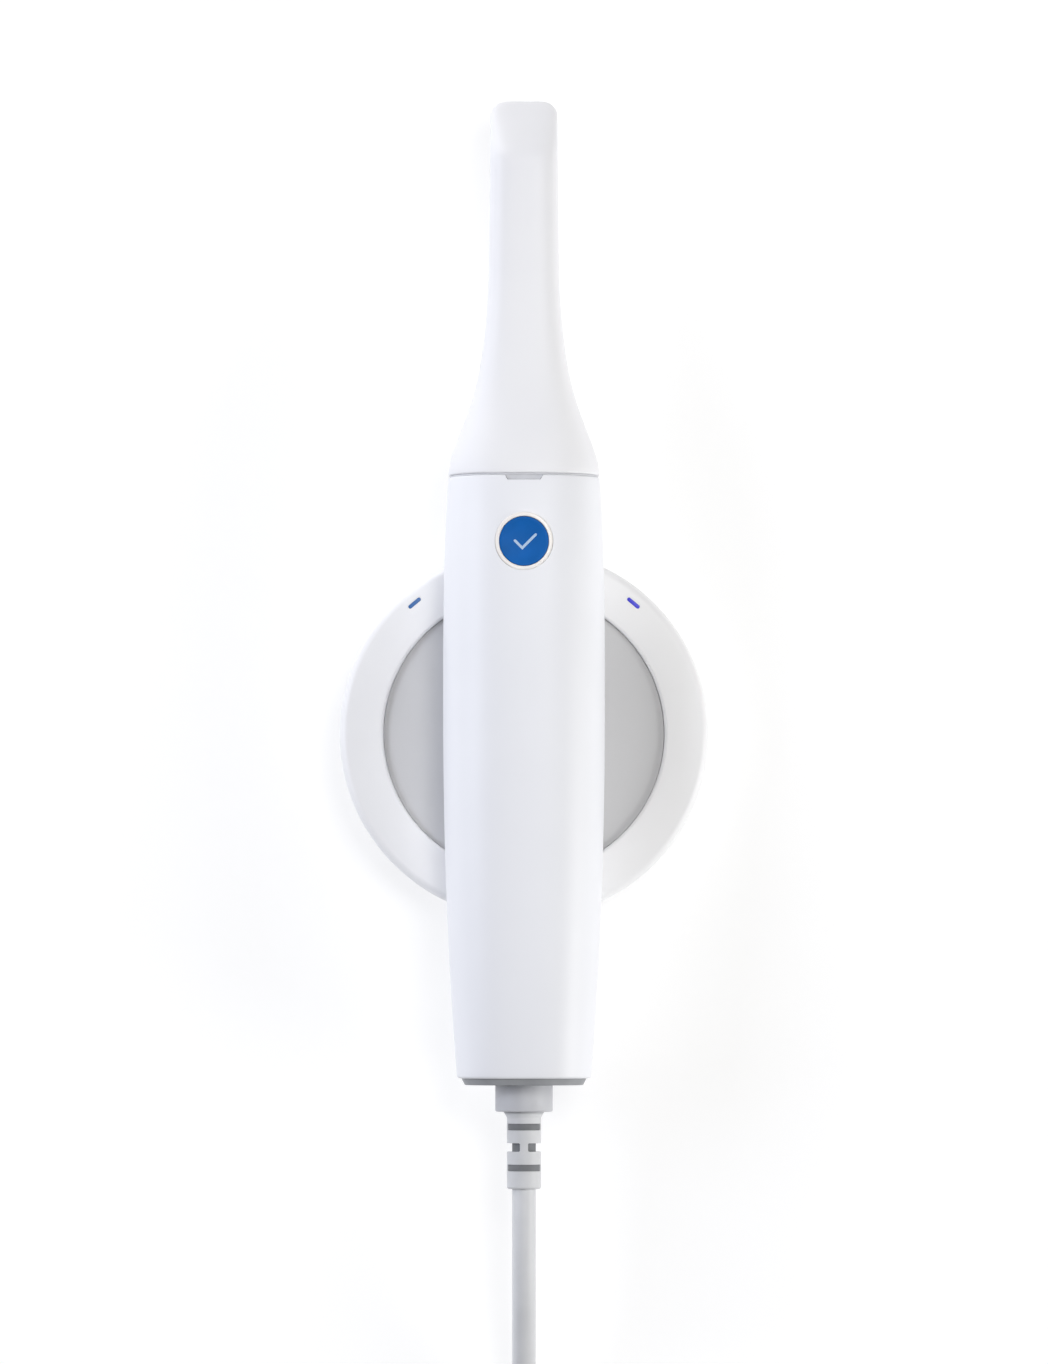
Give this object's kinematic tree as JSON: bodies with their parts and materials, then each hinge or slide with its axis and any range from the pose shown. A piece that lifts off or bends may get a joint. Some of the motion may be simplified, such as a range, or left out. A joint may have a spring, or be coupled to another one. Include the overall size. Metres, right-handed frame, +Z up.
{
  "type": "intraoral camera",
  "caption": "Handheld intraoral scanning camera with a slide-off mirror tip, push button and tied cord, lying in a round desk cradle.",
  "frame": {"origin": "centre of the cradle's underside, on the table", "axes": "+Y along the handpiece towards its scanning tip, +Z up out of the button, +X to the right seen from above"},
  "size_m": [0.15, 0.4704, 0.053],
  "materials": {
    "white_abs": "satin injection-moulded casing",
    "tip_white": "satin autoclavable moulding",
    "ring_white": "satin moulded cover",
    "pad_grey": "matt soft-touch moulding",
    "sole_rubber": "fine-textured non-slip rubber",
    "base_grey": "spark-eroded mould texture",
    "ballast_steel": "zinc-plated plate",
    "screw_steel": "machined screws",
    "mark_left_blue": "polished inlay",
    "mark_right_blue": "polished inlay",
    "button_blue": "satin moulded cap",
    "tick_blue": "printed symbol",
    "bezel_white": "satin moulded ring",
    "gasket_grey": "moulded silicone",
    "inner_white": "matt moulding",
    "bulkhead_grey": "matt moulding",
    "frame_aluminium": "die-cast and bead-blasted",
    "barrel_black": "black-anodised turning",
    "optic_glass": "polished coated glass",
    "mirror_glass": "front-silvered glass",
    "mirror_rim": "matt moulding",
    "board_green": "solder-masked laminate",
    "chip_black": "moulded epoxy packages",
    "socket_ivory": "moulded nylon",
    "standoff_brass": "turned brass",
    "gland_grey": "matt moulding",
    "relief_grey": "moulded flexible strain relief",
    "core_grey": "extruded matt inner jacket",
    "cord_grey": "extruded matt cable jacket",
    "tie_fabric": "woven hook-and-loop strap",
    "plug_white": "matt overmould",
    "plug_steel": "nickel-plated pressed shell",
    "tongue_black": "moulded insulator"
  },
  "bodies": {
    "cradle": {"cradle_sole": "sole_rubber", "cradle_base": "base_grey", "cradle_ballast": "ballast_steel", "cradle_ring": "ring_white", "cradle_pad": "pad_grey", "cradle_screws": "screw_steel", "mark_left": "mark_left_blue", "mark_right": "mark_right_blue"},
    "handpiece": {"upper_shell": "white_abs", "lower_shell": "white_abs", "heel_cap": "bulkhead_grey", "heel_screws": "screw_steel", "button_bezel": "bezel_white", "switch_board": "board_green", "button_switch": "chip_black", "haptic_motor": "screw_steel", "front_bulkhead": "bulkhead_grey", "bulkhead_screws": "screw_steel", "seam_gasket": "gasket_grey", "nose_barrel": "inner_white", "nose_ring": "gasket_grey", "nose_window": "optic_glass", "optical_frame": "frame_aluminium", "camera_barrels": "barrel_black", "camera_lenses": "optic_glass", "camera_boards": "board_green", "image_sensors": "chip_black", "projector_barrel": "barrel_black", "projector_lens": "optic_glass", "pattern_chip": "chip_black", "light_board": "board_green", "heat_sink": "frame_aluminium", "chassis_rail": "frame_aluminium", "board_standoffs": "standoff_brass", "main_board": "board_green", "board_chips": "chip_black", "board_socket": "socket_ivory", "cord_clamp": "bulkhead_grey", "gland": "gland_grey", "strain_relief": "relief_grey", "cord_inner": "core_grey", "cord_run": "cord_grey", "cord_coil": "cord_grey", "cord_tail": "cord_grey", "cord_tie": "tie_fabric", "plug_relief": "relief_grey", "plug_body": "plug_white", "plug_shell": "plug_steel", "plug_tongue": "tongue_black"},
    "button": {"button_cap": "button_blue", "button_tick": "tick_blue"},
    "tip": {"tip_shell": "tip_white", "tip_sleeve": "inner_white", "tip_mirror": "mirror_glass", "mirror_frame": "mirror_rim"}
  },
  "joints": [
    {"name": "handpiece_lift", "type": "slide", "parent": "cradle", "child": "handpiece", "axis": [0, 0, 1], "range_m": [0, 0.05]},
    {"name": "button_press", "type": "slide", "parent": "handpiece", "child": "button", "axis": [0, 0, -1], "range_m": [0, 0.0006], "stiffness_N_per_m": 400, "springref_m": -0.001},
    {"name": "tip_pull", "type": "slide", "parent": "handpiece", "child": "tip", "axis": [0, 1, 0], "range_m": [0, 0.04]}
  ]
}
